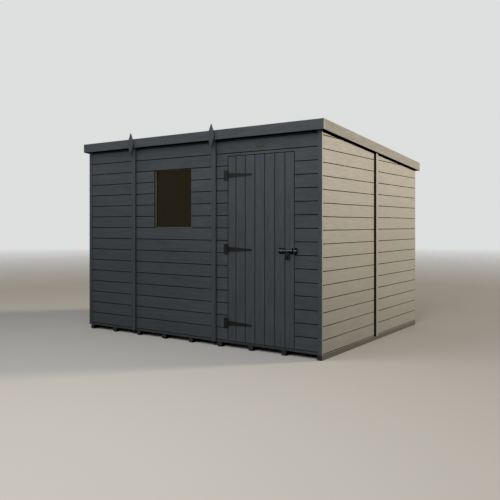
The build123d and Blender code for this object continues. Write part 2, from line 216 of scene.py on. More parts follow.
def spread(tree, value, low, high, from_low, from_high):
    values = {"Value": value, "From Min": from_low, "From Max": from_high, "To Min": low, "To Max": high}
    return add(tree, "MapRange", values).outputs["Result"]


def attribute(tree, name):
    return add(tree, "Attribute", attribute_name=name).outputs["Fac"]


def tinted(tree, factor, dark, light):
    node = add(tree, "Mix", {"Factor": factor}, data_type="RGBA", clamp_factor=True)
    colours = [index for index, socket in enumerate(node.inputs) if socket.type == "RGBA"]
    fill(tree, node, dict(zip(colours, (dark, light))))
    return [s for s in node.outputs if s.type == "RGBA"][0]


def dress(tree, shader, colour, roughness, specular, height, relief, strength):
    """Gives a shader its colour, roughness, specular level, and bump from a height."""
    node = add(tree, "Bump", {"Height": height, "Strength": strength, "Distance": relief})
    fill(tree, shader, {"Base Color": colour, "Roughness": roughness, "Specular IOR Level": specular,
                        "Normal": node.outputs["Normal"]})


def times(colour, factor):
    return tuple(c * factor for c in colour[:3]) + (1.0,)


def composite_material(name, colour, grain, tilt=0.0, roughness=0.52):
    """Grey composite board: fine pressed grain along one axis, patches, edges lighter with wear and
    painted highlight, and patchy dirt with painted shade low down, more of it toward the left end."""
    material, tree, shader = new_material(name)

    def pressed(across, along, detail, distortion):
        return noise(tree, [along if runs else across for runs in grain], detail, 0.6, distortion, tilt)

    fine = pressed(260, 6, 4.0, 0.3)
    streak = pressed(52, 6, 3.0, 0.5)
    band = pressed(22, 1.5, 3.0, 0.4)
    patch = noise(tree, (2.2, 2.2, 2.6), 3.0, 0.6)
    tone = attribute(tree, "tone")
    level = weighted(tree, ((fine, 0.9), (streak, 1.1), (band, 0.7), (patch, 0.5), (tone, 0.14)), 0.5)
    face = tinted(tree, level, times(colour, 0.55), times(colour, 1.45))
    # Edges lighter: partly wear, partly a painted highlight along the rounded edges
    worn = spread(tree, patch, 0.05, 0.5, 0.4, 0.65)
    worn = maths(tree, "MULTIPLY", attribute(tree, "edge"), worn, clamp=True)
    face = tinted(tree, worn, face, times(colour, 1.6))
    # Painted shade with patchy dirt: darker low down and toward the left end
    place = object_place(tree)
    low_down = spread(tree, place["Z"], 0.9, 0.0, 0.0, 1.7)
    shaded_left_end = spread(tree, place["X"], 1.0, 0.15, -1.6, 0.6)
    grime_and_shade = maths(tree, "MULTIPLY", low_down, shaded_left_end)
    grime_and_shade = maths(tree, "MULTIPLY", grime_and_shade, spread(tree, patch, 0.6, 1.0, 0.3, 0.7), clamp=True)
    face = tinted(tree, grime_and_shade, face, times(colour, 0.62))
    sheen = spread(tree, fine, roughness - 0.05, roughness + 0.08, 0.3, 0.7)
    height = weighted(tree, ((fine, 0.6), (streak, 0.4)), 0.5)
    dress(tree, shader, face, sheen, 0.35, height, 0.4 * MM, 0.4)
    return material


def joint_material(name, colour, shine=0.1):
    """The faces down in a joint: dirt and painted shade."""
    material, tree, shader = new_material(name)
    dirt = noise(tree, (30, 30, 60), 4.0)
    face = tinted(tree, dirt, times(colour, 0.7), times(colour, 1.3))
    dress(tree, shader, face, 0.9, shine, dirt, 0.4 * MM, 0.5)
    return material


def timber_material(name, colour, axis, paint=None, paint_edge=0.0):
    """Planed softwood: growth lines along one axis, knots and a slight sheen. Where paint is given, the
    front faces are painted, up to the place paint_edge along Y."""
    material, tree, shader = new_material(name)
    scale = [34.0, 34.0, 34.0]
    scale[axis] = 1.4
    lines = noise(tree, scale, 5.0, 0.65, 1.2)
    pores = noise(tree, [s * 9 for s in scale], 2.0, 0.6)
    knot_scale = [11.0, 11.0, 11.0]
    knot_scale[axis] = 3.2
    knots = {"Vector": place_coordinates(tree, knot_scale, 0.0), "Scale": 1.0, "Randomness": 1.0}
    knot = spread(tree, add(tree, "TexVoronoi", knots).outputs["Distance"], 1.0, 0.0, 0.05, 0.16)
    level = weighted(tree, ((lines, 1.5), (pores, 0.35), (attribute(tree, "tone"), 0.35)), 0.55)
    face = tinted(tree, level, times(colour, 0.62), times(colour, 1.18))
    face = tinted(tree, maths(tree, "MULTIPLY", knot, 0.75, clamp=True), face, times(colour, 0.28))
    if paint:
        painted = spread(tree, object_place(tree)["Y"], 1.0, 0.0, paint_edge - 4 * MM, paint_edge)
        face = tinted(tree, painted, face, paint)
    sheen = spread(tree, lines, 0.55, 0.72, 0.3, 0.7)
    height = weighted(tree, ((lines, 0.7), (pores, 0.5)), 0.5)
    dress(tree, shader, face, sheen, 0.35, height, 0.4 * MM, 0.5)
    return material


def felt_material(name, colour):
    """Mineral felt: fine granules, patches bleached and mossy."""
    material, tree, shader = new_material(name)
    granules = noise(tree, (700, 700, 700), 2.0, 0.7)
    patches = noise(tree, (1.6, 3.0, 3.0), 5.0, 0.6, 0.4)
    level = weighted(tree, ((granules, 1.5), (patches, 0.9), (attribute(tree, "tone"), 0.2)), 0.5)
    face = tinted(tree, level, times(colour, 0.55), times(colour, 1.5))
    face = tinted(tree, spread(tree, patches, 0.0, 0.35, 0.56, 0.75), face, srgb(70, 76, 58))
    dress(tree, shader, face, 0.92, 0.25, granules, 0.8 * MM, 0.7)
    return material


def metal_paint_material(name, colour, wear, roughness, metallic=0.0, shine=0.4, dark_below=None):
    """Paint or plating on steel, with fine orange peel and small worn spots. Below the height given last it
    darkens toward the bottom, over half a metre."""
    material, tree, shader = new_material(name)
    peel = noise(tree, (420, 420, 420), 3.0, 0.6)
    spots = noise(tree, (60, 60, 60), 5.0, 0.65, 0.5)
    level = weighted(tree, ((peel, 0.6), (spots, 0.6)), 0.5)
    face = tinted(tree, level, times(colour, 0.75), times(colour, 1.3))
    face = tinted(tree, spread(tree, spots, 0.0, 0.8, 0.62, 0.74), face, wear)
    # Darker toward the bottom, below the height given
    if dark_below:
        undimmed = spread(tree, object_place(tree)["Z"], 0.0, 1.0, dark_below - 0.5, dark_below)
        face = tinted(tree, undimmed, times(colour, 0.1), face)
    sheen = spread(tree, spots, roughness - 0.08, roughness + 0.14, 0.3, 0.7)
    fill(tree, shader, {"Metallic": metallic})
    dress(tree, shader, face, sheen, shine, peel, 0.15 * MM, 0.5)
    return material


def glass_material(name, colour):
    """Dark pane, its brown tint a painted reflection of dark surroundings, with a faint, patchy film of
    dust.
    """
    material, tree, shader = new_material(name)
    film = noise(tree, (9, 9, 14), 5.0, 0.6, 0.5)
    fill(tree, shader, {"Base Color": tinted(tree, film, times(colour, 0.8), times(colour, 1.25)),
                        "Roughness": spread(tree, film, 0.03, 0.12, 0.3, 0.8), "Alpha": 0.86,
                        "Specular IOR Level": 0.1})
    material.surface_render_method = "BLENDED"
    return material


ALONG_LEVEL = (1, 1, 0)  # grain lies along X and Y, fine lines follow each other up Z
ALONG_HEIGHT = (0, 0, 1)

roof_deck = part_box("roof_deck")
roof_fall = (roof_deck[1].z - roof_deck[0].z - DECK_THICKNESS) / (roof_deck[1].y - roof_deck[0].y)
roof_tilt = math.atan(roof_fall)
wall_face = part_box("front_wall_left")[0].y
wall_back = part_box("front_wall_left")[1].y
plate_face = wall_face - 3 * MM  # hinge and bolt plates
strap_face = wall_face - 4 * MM  # hinge straps and lugs

cladding = composite_material("cladding_boards", srgb(51, 56, 60), ALONG_LEVEL)
upright_trim = composite_material("upright_trim", srgb(49, 54, 58), ALONG_HEIGHT)
level_trim = composite_material("level_trim", srgb(54, 58, 62), ALONG_LEVEL)
sloping_trim = composite_material("sloping_trim", srgb(52, 56, 60), ALONG_LEVEL, roof_tilt, roughness=0.6)
# Painted shade: packing rails behind the fascias, near black
packing_painted_shade = composite_material("packing_painted_shade", srgb(6, 6, 5), ALONG_LEVEL, roughness=0.9)
door_grey = composite_material("door_boards", srgb(50, 55, 59), ALONG_HEIGHT)
# Painted shade: joints of the front and back boards, the window's rebate and strips, side battens' fronts
joint_dark = joint_material("board_joints", srgb(20, 20, 19))
# Painted shade in the side boards' joints, warmed as painted sunlight
side_joint_dark = joint_material("side_board_joints", srgb(38, 33, 27))
# Painted shade: the door's V joints and the dark lines by the front trims
v_joint_dark = joint_material("door_joints", srgb(42, 45, 47))
# Painted shade: near black for undersides, between the bearers and in the strips at the wall tops
painted_shade_dark = joint_material("painted_shade_undersides", srgb(4, 4, 4), 0.0)
bearer_grey = composite_material("bearers", srgb(21, 23, 25), ALONG_LEVEL, roughness=0.8)
edging_grey = composite_material("floor_edging", srgb(46, 49, 52), ALONG_LEVEL, roughness=0.6)
threshold_grey = composite_material("threshold", srgb(34, 37, 39), ALONG_LEVEL, roughness=0.6)
window_stain = composite_material("window_stain", srgb(63, 57, 43), ALONG_HEIGHT, roughness=0.5)
raw = srgb(186, 152, 108)
painted_from = wall_back + 12 * MM
timber = [timber_material(f"raw_timber_{'xyz'[axis]}", raw, axis) for axis in range(3)]
# Painted shade: the near-black paint on the frame's front faces, seen through the door's gaps
front_shade_paint = srgb(12, 13, 13)
front_timber = {axis: timber_material(f"front_timber_{'xyz'[axis]}", raw, axis, front_shade_paint, painted_from)
                for axis in (0, 2)}
floor_timber = timber_material("floor_timber", srgb(172, 140, 100), 0)
roof_timber = timber_material("roof_timber", srgb(178, 146, 104), 0)
felt = felt_material("mineral_felt", srgb(62, 64, 65))
hinge_black = metal_paint_material("hinge_black", srgb(15, 17, 17), srgb(32, 33, 31), 0.55, shine=0.22,
                                   dark_below=1.6)
bolt_black = metal_paint_material("bolt_black", srgb(3, 3, 3), srgb(10, 10, 9), 0.7, shine=0.04)
hasp_brown = metal_paint_material("hasp_brown", srgb(12, 12, 10), srgb(30, 28, 22), 0.55, shine=0.2)
bolt_dark = metal_paint_material("bolt_dark", srgb(16, 19, 20), srgb(44, 50, 52), 0.2, shine=0.75)
worn_steel = metal_paint_material("worn_steel", srgb(120, 122, 120), srgb(150, 150, 146), 0.35, 0.8)
screw_black = metal_paint_material("screw_black", srgb(12, 12, 12), srgb(40, 39, 36), 0.4, shine=0.3)
nail_grey = metal_paint_material("painted_nails", srgb(44, 47, 50), srgb(70, 72, 74), 0.5)
galvanised = metal_paint_material("galvanised", srgb(120, 124, 126), srgb(90, 84, 76), 0.45, 0.7)
dull_brass = metal_paint_material("dull_brass", srgb(56, 56, 47), srgb(76, 73, 58), 0.55, shine=0.25)
# Painted reflection: the pane's dark brown colour
pane_glass = glass_material("pane_glass", srgb(32, 25, 6))


# Mesh helpers

def new_bmesh(source=None):
    bm = bmesh.new()
    if source:
        bm.from_mesh(source)
    bm.faces.layers.float.new("tone")
    bm.faces.layers.float.new("edge")
    return bm


def set_layer(bm, faces, name, value):
    layer = bm.faces.layers.float[name]
    for face in faces:
        face[layer] = value


def tone_islands(bm, rng):
    """Gives each separate solid a tone of its own, from 0 to 1."""
    layer = bm.faces.layers.float["tone"]
    bm.faces.ensure_lookup_table()
    seen = set()
    for start in bm.faces:
        if start.index in seen:
            continue
        value = rng.random()
        stack = [start]
        seen.add(start.index)
        while stack:
            face = stack.pop()
            face[layer] = value
            for edge in face.edges:
                for other in edge.link_faces:
                    if other.index not in seen:
                        seen.add(other.index)
                        stack.append(other)


def put_in_scene(name, data):
    thing = bpy.data.objects.new(name, data)
    bpy.context.scene.collection.objects.link(thing)
    return thing


def finish_piece(bm, name, materials, body, replaces=(), smooth_all=False):
    """Rounded edges are shaded smooth, and flat faces flat."""
    bmesh.ops.recalc_face_normals(bm, faces=bm.faces)
    edge_layer = bm.faces.layers.float["edge"]
    for face in bm.faces:
        face.smooth = smooth_all or face[edge_layer] > 0.5
    mesh = bpy.data.meshes.new(name)
    bm.to_mesh(mesh)
    bm.free()
    for material in materials:
        mesh.materials.append(material)
    if smooth_all:
        mesh.set_sharp_from_angle(angle=SMOOTH_ANGLE)
    piece = put_in_scene(name, mesh)
    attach(piece, body)
    if replaces:
        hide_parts(*replaces)


def eased(node, material, width, body="root", other=None, smooth=False):
    """The node's own solids with rounded edges. other is a second material, with a test for the faces that
    take it."""
    bm = new_bmesh(nodes[node].data)
    bmesh.ops.remove_doubles(bm, verts=bm.verts, dist=0.01 * MM)
    bmesh.ops.dissolve_limit(bm, angle_limit=FLAT_ANGLE, verts=bm.verts, edges=bm.edges)
    sharp = [e for e in bm.edges if len(e.link_faces) == 2 and e.calc_face_angle() > SHARP_ANGLE]
    made = bmesh.ops.bevel(bm, geom=sharp, offset=width, offset_type="OFFSET", segments=2, profile=0.5,
                           affect="EDGES", clamp_overlap=True)
    set_layer(bm, made["faces"], "edge", 1.0)
    tone_islands(bm, random.Random(node))
    bm.normal_update()
    for face in bm.faces:
        face.material_index = 1 if other and other[1](face) else 0
    materials = [material, other[0]] if other else [material]
    finish_piece(bm, f"{node}_eased", materials, body, [node], smooth)


def looks_down(face):
    return face.normal.z < -0.7


def looks_ahead(face):
    return face.normal.y < -0.7


def at_x(x):
    """Turns an outline's (y, z) points into places at x."""
    return lambda y, z: (x, y, z)


def at_z(z):
    """Turns an outline's (x, y) points into places at z."""
    return lambda x, y: (x, y, z)


def prism(bm, outline, first, last, tone=0.5, joints=(), edges=()):
    """Runs an outline from one end to the other. first and last turn an outline point into a place.
    joints and edges hold the numbers of the sides that lie in a joint or on a rounded edge."""
    start = [bm.verts.new(first(*point)) for point in outline]
    end = [bm.verts.new(last(*point)) for point in outline]
    count = len(outline)
    faces = [bm.faces.new(start), bm.faces.new(list(reversed(end)))]
    for index in range(count):
        after = (index + 1) % count
        face = bm.faces.new((start[index], end[index], end[after], start[after]))
        if index in joints:
            face.material_index = 1
        if index in edges:
            set_layer(bm, [face], "edge", 1.0)
        faces.append(face)
    set_layer(bm, faces, "tone", tone)
    return faces


def lofted(bm, rings, closed=False, edges=()):
    """A skin over a row of point rings. closed joins the last ring to the first, and otherwise both ends are
    capped. edges holds the numbers of the bands that are rounded edges."""
    rows = [[bm.verts.new(point) for point in ring] for ring in rings]
    faces = []
    pairs = list(zip(rows, rows[1:])) + ([(rows[-1], rows[0])] if closed else [])
    for band, (near, far) in enumerate(pairs):
        for index in range(len(near)):
            after = (index + 1) % len(near)
            face = bm.faces.new((near[index], far[index], far[after], near[after]))
            if band in edges:
                set_layer(bm, [face], "edge", 1.0)
            faces.append(face)
    if not closed:
        faces += [bm.faces.new(rows[0]), bm.faces.new(list(reversed(rows[-1])))]
    set_layer(bm, faces, "tone", 0.5)
    return faces


def oval_ring(centre, normal, radius_1, radius_2, height, segments):
    """Points round an ellipse, at a height over centre along normal. radius_1 runs level."""
    normal = Vector(normal)
    level = Vector((1, 0, 0)) if abs(normal.x) < 0.5 else Vector((0, 1, 0))
    other = normal.cross(level)
    points = []
    for index in range(segments):
        angle = 2 * math.pi * index / segments
        out = level * (radius_1 * math.cos(angle)) + other * (radius_2 * math.sin(angle))
        points.append(Vector(centre) + out + normal * height)
    return points


def add_head(bm, centre, normal, radius, height, recess=0.0):
    """A screw's or nail's low domed head, a screw's with a socket in the middle."""
    profile = [(1.0, -0.3), (1.0, 0.35), (0.82, 0.8), (0.5, 1.0)]
    if recess:
        profile += [(0.42, 1.0), (0.34, 1.0 - recess)]
    rings = []
    for share, rise in profile:
        wide = radius * share
        rings.append(oval_ring(centre, normal, wide, wide, height * rise, HEAD_SEGMENTS))
    lofted(bm, rings, edges=(1, 2))


def cut_by_plane(bm, point, normal):
    """Takes off what lies beyond a plane, and closes each cut solid."""
    geometry = list(bm.verts) + list(bm.edges) + list(bm.faces)
    cut = bmesh.ops.bisect_plane(bm, geom=geometry, plane_co=point, plane_no=normal, clear_outer=True)
    rims = [part for part in cut["geom_cut"] if isinstance(part, bmesh.types.BMEdge)]
    if rims:
        bmesh.ops.edgeloop_fill(bm, edges=rims)


# Wall boards

def evenly(low, high, inset, count):
    """Evenly spaced places between low and high, the first and the last an inset from them."""
    return [low + inset + (high - low - 2 * inset) * index / (count - 1) for index in range(count)]


def board_outline(low, high, joint, plain_low, plain_high):
    """One board's section as (depth, z) points, with the sides that lie in a joint and on an eased edge."""
    outline, joints, edges = [], [], []
    corner = 0.3 * EASE
    if plain_low:
        outline += [(BOARD_THICKNESS, low), (0.0, low)]
        joints.append(0)
    else:
        behind = JOINT_DEPTH - PLAY
        step = low + TONGUE + PLAY
        outline += [(BOARD_THICKNESS, step), (behind, step), (behind, low)]
        outline += [(EASE, low), (corner, low + corner), (0.0, low + EASE)]
        joints += [0, 1, 2]
        edges += [3, 4]
    top = high if plain_high else high - joint
    edges += [len(outline), len(outline) + 1]
    outline += [(0.0, top - EASE), (corner, top - corner), (EASE, top)]
    if plain_high:
        outline.append((BOARD_THICKNESS, top))
    else:
        joints += [len(outline) - 1, len(outline)]
        tip = high + TONGUE
        outline += [(JOINT_DEPTH, top + JOINT_SCOOP), (JOINT_DEPTH, tip), (BOARD_THICKNESS, tip)]
    return outline, joints, edges


def board_pieces(low, high, joint, span, holes):
    """Splits one course around the holes: (start, end, low, high, plain_low, plain_high)."""
    cuts = sorted({span[0], span[1]} | {u for hole in holes for u in hole[:2] if span[0] < u < span[1]})
    pieces = []
    for start, end in zip(cuts, cuts[1:]):
        bottom, top, plain_low, plain_high = low, high, False, False
        for u0, u1, z0, z1 in holes:
            if not (u0 <= start and end <= u1) or z1 < low - LIP or z0 > high + LIP:
                continue
            if z0 > bottom:
                top, plain_high = min(z0, high - joint), True
            else:
                bottom, plain_low = z1, True
        if top - bottom > joint:
            pieces.append((start, end, bottom, top, plain_low, plain_high))
    return pieces


def drifted(drift, course):
    """How far a course line lies over its even place."""
    for (course_0, rise_0), (course_1, rise_1) in zip(drift, drift[1:]):
        if course <= course_1:
            return (rise_0 + (rise_1 - rise_0) * (course - course_0) / (course_1 - course_0)) * MM
    return drift[-1][1] * MM


def clad_wall(name, place, span, base, drift, joint, shade, replaced, holes=(), foot=0.0):
    """Shiplap boards on one wall. place turns (along, depth, z) into a place. base is the first course line,
    and foot the lowest board's lower edge, plain where given."""
    rng = random.Random(name)
    bm = new_bmesh()
    courses = math.ceil((roof_deck[1].z - base) / COURSE)
    edges_z = [base + index * COURSE + drifted(drift, index) + LIP for index in range(courses + 1)]
    for course in range(courses):
        tone = rng.random()
        low, high = edges_z[course], edges_z[course + 1]
        for start, end, bottom, top, plain_low, plain_high in board_pieces(low, high, joint, span, holes):
            if foot and course == 0:
                bottom, plain_low = foot, True
            outline, joints, edges = board_outline(bottom, top, joint, plain_low, plain_high)
            ends = [lambda d, z, u=u: place(u, d, z) for u in (start, end)]
            prism(bm, outline, *ends, tone, joints, edges)
    under_deck = Vector((0, roof_deck[1].y, roof_deck[0].z))
    cut_by_plane(bm, under_deck, Vector((0, roof_fall, 1)))
    finish_piece(bm, name, [cladding, shade], "root", replaced)


def make_skirt(name, place, span, low):
    """Plain strip under the lowest side boards."""
    bm = new_bmesh()
    ends = [lambda d, z, u=u: place(u, d, z) for u in span]
    back = BOARD_THICKNESS
    high = SIDE_BASE + LIP - SIDE_JOINT
    tip = high + 2 * TONGUE
    tone = 0.4
    outline = [(back, low), (EASE, low), (0.0, low + EASE), (0.0, high - EASE), (EASE, high), (back, high)]
    prism(bm, outline, *ends, tone, edges=(1, 3))
    outline = [(back, high), (JOINT_DEPTH, high), (JOINT_DEPTH, tip), (back, tip)]
    prism(bm, outline, *ends, tone, joints=(0, 1))
    finish_piece(bm, name, [cladding, side_joint_dark], "root")


def make_walls():
    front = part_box("front_wall_left")
    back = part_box("back_wall_left")
    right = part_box("right_wall_front")
    right_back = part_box("right_wall_back")
    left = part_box("left_wall_front")
    over_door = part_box("front_wall_over_door")
    latch_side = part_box("front_wall_latch_side")
    hinge_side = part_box("front_wall_hinge_side")
    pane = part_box("window_pane")
    foot = front[0].z + EDGING_LINE

    def along_x(face, inward):
        return lambda u, depth, z: (u, face + inward * depth, z)

    def along_y(face, inward):
        return lambda u, depth, z: (face + inward * depth, u, z)

    left_span = (front[0].x, front[1].x)
    middle_span = (front[1].x, hinge_side[0].x)
    right_span = (hinge_side[0].x, latch_side[1].x)
    window = (pane[0].x, pane[1].x, pane[0].z, pane[1].z)
    doorway = (over_door[0].x, over_door[1].x, 0.0, over_door[0].z)
    round_door = ["front_wall_hinge_side", "front_wall_latch_side", "front_wall_over_door"]
    style = (FRONT_BASE, FRONT_DRIFT, FRONT_JOINT, joint_dark)
    for part, span, replaced, holes in (
            ("left", left_span, ["front_wall_left"], []),
            ("window", middle_span, ["front_wall_window"], [window]),
            ("door", right_span, round_door, [doorway])):
        clad_wall(f"front_boards_{part}", along_x(front[0].y, 1), span, *style, replaced, holes, foot)
    for part, span in (("left", left_span), ("middle", middle_span), ("right", right_span)):
        clad_wall(f"back_boards_{part}", along_x(back[1].y, -1), span, *style, [f"back_wall_{part}"],
                  foot=foot)
    ends = (right[0].y, right_back[1].y)
    halves = (("front", ends[0], right[1].y, SIDE_FRONT_DRIFT),
              ("back", right[1].y, ends[1], SIDE_BACK_DRIFT))
    for side, place in (("right", along_y(right[1].x, -1)), ("left", along_y(left[0].x, 1))):
        for half, y0, y1, drift in halves:
            clad_wall(f"{side}_boards_{half}", place, (y0, y1), SIDE_BASE, drift, SIDE_JOINT,
                      side_joint_dark, [f"{side}_wall_{half}"])
        make_skirt(f"{side}_skirt", place, ends, right[0].z)


# Trims, fascias and frame

def make_trims():
    # Painted shade on the fascias' undersides
    underside = (painted_shade_dark, looks_down)
    for node, material, width, other in (
            ("corner_trims", upright_trim, 1.5, None),
            ("front_cover_battens", upright_trim, 1.6, None),
            ("back_cover_battens", upright_trim, 1.6, None),
            # Painted shade on the side battens' front faces
            ("side_cover_battens", upright_trim, 1.6, (joint_dark, looks_ahead)),
            ("fascia_front", level_trim, 1.0, underside),
            ("fascia_back", level_trim, 1.0, underside),
            ("fascia_left", sloping_trim, 1.0, underside),
            ("fascia_right", sloping_trim, 1.0, underside),
            ("fascia_diamonds", upright_trim, 1.2, None)):
        eased(node, material, width * MM, other=other)
    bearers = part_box("floor_bearers")
    outermost = max(abs(bearers[0].x), abs(bearers[1].x)) - 5 * MM

    def between_bearers(face):
        return abs(face.normal.x) > 0.7 and abs(face.calc_center_median().x) < outermost

    # Painted shade on the bearers' sides, between the bearers
    eased("floor_bearers", bearer_grey, 2.5 * MM, other=(painted_shade_dark, between_bearers))
    make_window_frame()
    make_shade_lines()
    make_shade_strips()
    make_trim_nails()


def make_window_frame():
    """Frame with a rebate darkened as painted shade and a sloping bead that laps the pane, and dark strips
    of painted shade in the joints over and under it."""
    low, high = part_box("window_pane")
    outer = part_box("window_frame")
    reach = low.x - outer[0].x
    front = low.y - PANE_PLAY
    bead = front - BEAD_HEIGHT
    sections = [(outer[0].y, -reach), (outer[0].y, 0.0), (bead, 0.4 * MM), (front, BEAD_LAP)]
    sections += [(front, -PANE_PLAY), (outer[1].y, -PANE_PLAY), (outer[1].y, -reach)]
    rings = []
    for y, inset in sections:
        x0, x1, z0, z1 = low.x + inset, high.x - inset, low.z + inset, high.z - inset
        rings.append([(x0, y, z0), (x1, y, z0), (x1, y, z1), (x0, y, z1)])
    bm = new_bmesh()
    for face in lofted(bm, rings, closed=True):
        # Painted shade: the rebate's faces take the dark joint colour
        in_rebate = outer[0].y + 1 * MM < face.calc_center_median().y < bead
        face.material_index = 1 if in_rebate else 0
    finish_piece(bm, "window_frame_bevelled", [window_stain, joint_dark], "root",
                 ["window_frame"])
    # Painted shade: dark strips in the joints over and under the pane
    bm = new_bmesh()
    y0 = wall_face + JOINT_DEPTH
    y1 = y0 + WINDOW_SHADE_STRIP
    for z0, z1 in ((high.z + 0.5 * MM, high.z + 9 * MM), (low.z - 8 * MM, low.z + 0.5 * MM)):
        prism(bm, [(y0, z0), (y1, z0), (y1, z1), (y0, z1)], at_x(low.x), at_x(high.x))
    finish_piece(bm, "window_shade_strips", [joint_dark], "root")


def make_shade_strips():
    """Painted shade: a black strip at the top of each wall, behind and just under the fascia's lower edge.
    """
    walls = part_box("right_wall_front")
    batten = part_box("side_cover_battens")
    spans = ((walls[0].y + SIDE_SHADE_STRIP_END, batten[0].y),
             (batten[1].y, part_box("right_wall_back")[1].y - SIDE_SHADE_STRIP_END))
    bm = new_bmesh()
    for side in (1, -1):
        face = side * walls[1].x
        proud = face + side * SHADE_STRIP_THICKNESS
        for span in spans:
            rings = []
            for y in span:
                low, high = fascia_bottom(y) - SHADE_STRIP_DROP, fascia_bottom(y) + SHADE_STRIP_RISE
                rings.append([(face, y, low), (proud, y, low), (proud, y, high), (face, y, high)])
            lofted(bm, rings)
    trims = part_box("corner_trims")
    for side, fascia in ((-1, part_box("fascia_front")), (1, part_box("fascia_back"))):
        face = wall_face if side < 0 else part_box("back_wall_left")[1].y
        proud = face + side * SHADE_STRIP_THICKNESS
        low, high = fascia[0].z - FRONT_SHADE_STRIP_DROP, fascia[0].z + SHADE_STRIP_RISE
        outline = [(face, low), (proud, low), (proud, high), (face, high)]
        prism(bm, outline, at_x(trims[0].x + SHADE_STRIP_END), at_x(trims[1].x - SHADE_STRIP_END))
    finish_piece(bm, "wall_seals", [painted_shade_dark], "root")


def fascia_bottom(y):
    """Lower edge of the side fascias at a place along Y."""
    low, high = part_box("fascia_right")
    return low.z + roof_fall * (high.y - y)


def make_shade_lines():
    """Painted shade: thin dark lines down the left edges of the trims on the front, where they stand off the
    boards.
    """
    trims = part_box("corner_trims")
    joints = (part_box("front_wall_hinge_side")[0].x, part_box("front_wall_left")[1].x)
    top = deck_height(wall_face) - SHADE_LINE_TOP
    y = wall_face - SHADE_LINE_RELIEF
    bm = new_bmesh()
    for edge in (trims[1].x - CORNER_TRIM, joints[0] - HALF_BATTEN, joints[1] - HALF_BATTEN):
        x0, x1 = edge - SHADE_LINE_WIDTH, edge + SHADE_LINE_LAP
        prism(bm, [(x0, wall_face), (x0, y), (x1, y), (x1, wall_face)], at_z(SHADE_LINE_FOOT), at_z(top))
    finish_piece(bm, "trim_shade_lines", [v_joint_dark], "root")


def make_trim_nails():
    """Painted nail heads down the middle of each upright trim and along the front fascia."""
    bm = new_bmesh()
    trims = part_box("corner_trims")
    joints = (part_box("front_wall_hinge_side")[0].x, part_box("front_wall_left")[1].x)
    for x in joints + (trims[1].x - 20 * MM, trims[0].x + 15 * MM):
        for z in NAIL_HEIGHTS:
            add_head(bm, (x, trims[0].y, z), AHEAD, *NAIL)
            if z < BACK_NAIL_TOP:
                add_head(bm, (x, trims[1].y, z), BEHIND, *NAIL)
    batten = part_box("side_cover_battens")
    middle = (batten[0].y + batten[1].y) / 2
    for z in NAIL_HEIGHTS[:-1]:
        for x, side in ((batten[1].x, 1), (batten[0].x, -1)):
            add_head(bm, (x, middle, z), (side, 0, 0), *NAIL)
    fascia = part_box("fascia_front")
    for x in evenly(fascia[0].x, fascia[1].x, 0.06, 9):
        for z in (fascia[0].z + 22 * MM, fascia[1].z - 24 * MM):
            add_head(bm, (x, fascia[0].y, z), AHEAD, *NAIL)
    finish_piece(bm, "trim_nails", [nail_grey], "root")


def make_frame():
    for node, material in (
            ("front_posts", front_timber[2]), ("front_rails", front_timber[0]), ("back_posts", timber[2]),
            ("side_posts", timber[2]), ("back_rails", timber[0]), ("side_rails", timber[1]),
            ("roof_rafters", timber[1])):
        eased(node, material, 2 * MM)
    # Painted shade: near-black packing rails, their undersides darker still
    eased("packing_rails", packing_painted_shade, 1 * MM, other=(painted_shade_dark, looks_down))
    eased("door_ledges", timber[0], 3 * MM, "door")
    eased("door_braces", timber[2], 3 * MM, "door")


# Door

def make_door():
    low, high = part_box("door_boards")
    middle_board = (high.x - low.x - LATCH_BOARD - HINGE_BOARD) / MIDDLE_BOARDS
    widths = [LATCH_BOARD] + [middle_board] * MIDDLE_BOARDS + [HINGE_BOARD]
    rng = random.Random("door")
    bm = new_bmesh()
    x = high.x
    corner = DOOR_BACK_CORNER
    for index, width in enumerate(widths):
        first, last = index == 0, index == len(widths) - 1
        x1 = x if first else x - DOOR_V_GAP / 2
        x -= width
        x0 = low.x if last else x + DOOR_V_GAP / 2
        left_v, left_depth = (DOOR_EDGE, DOOR_EDGE) if last else (DOOR_V_WIDTH, DOOR_V_DEPTH)
        right_v, right_depth = (DOOR_EDGE, DOOR_EDGE) if first else (DOOR_V_WIDTH, DOOR_V_DEPTH)
        outline = [(x0 + left_v, low.y), (x1 - right_v, low.y), (x1, low.y + right_depth)]
        outline += [(x1, high.y - corner), (x1 - corner, high.y), (x0 + corner, high.y)]
        outline += [(x0, high.y - corner), (x0, low.y + left_depth)]
        joints = [2, 6] + ([] if first else [1]) + ([] if last else [7])
        prism(bm, outline, at_z(low.z), at_z(high.z), rng.random(), joints)
    finish_piece(bm, "door_v_boards", [door_grey, v_joint_dark], "door", ["door_boards"])


